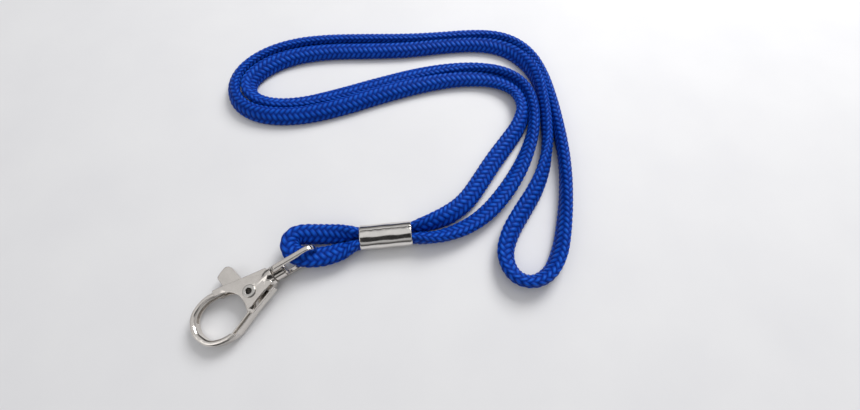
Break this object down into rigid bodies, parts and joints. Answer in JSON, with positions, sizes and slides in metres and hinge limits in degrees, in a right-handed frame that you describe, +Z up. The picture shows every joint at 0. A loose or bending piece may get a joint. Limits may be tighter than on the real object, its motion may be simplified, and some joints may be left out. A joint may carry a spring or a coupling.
{
  "type": "neck lanyard",
  "caption": "Braided neck cord doubled through a crimped metal ferrule, with a swivelling thumb-trigger snap hook hung in its small end loop.",
  "frame": {"origin": "middle of the ferrule and hook's footprint, on the surface that the lanyard lies on", "axes": "+X from the hook towards the neck loop along the ferrule, +Y across the neck loop, +Z up from the surface"},
  "size_m": [0.1188, 0.1152, 0.0088],
  "materials": {
    "cord_polyester": "hollow diamond braid of glossy royal-blue polyester yarn",
    "nickel_ferrule": "bright nickel plate on drawn tube",
    "nickel_casting": "bright nickel plate on a tumbled zinc casting",
    "nickel_rivet": "nickel-plated hollow rivet with a rolled rim",
    "spring_wire": "drawn spring steel wire"
  },
  "bodies": {
    "cord_loop": {"cord": "cord_polyester", "crimp_ferrule": "nickel_ferrule"},
    "eye": {"swivel_eye": "nickel_casting"},
    "hook": {"hook_body": "nickel_casting", "swivel_pin": "nickel_casting", "trigger_rivet": "nickel_rivet", "trigger_spring": "spring_wire"},
    "trigger": {"trigger_lever": "nickel_casting"}
  },
  "joints": [
    {"name": "eye_swing", "type": "hinge", "parent": "cord_loop", "child": "eye", "pos_m": [-0.0016, 0.0053, 0.0045], "axis": [-0.8649, 0.4994, 0.0499], "range_deg": [0, 60]},
    {"name": "swivel_spin", "type": "hinge", "parent": "eye", "child": "hook", "pos_m": [-0.00856, 0.00145, 0.00395], "axis": [0.8455, 0.5284, 0.0767], "continuous": true},
    {"name": "trigger_pivot", "type": "hinge", "parent": "hook", "child": "trigger", "pos_m": [-0.01407, -0.00346, 0.00339], "axis": [0.0651, 0.0407, -0.9971], "range_deg": [0, 25], "stiffness_Nm_per_rad": 0.01, "springref_deg": -20.05}
  ]
}
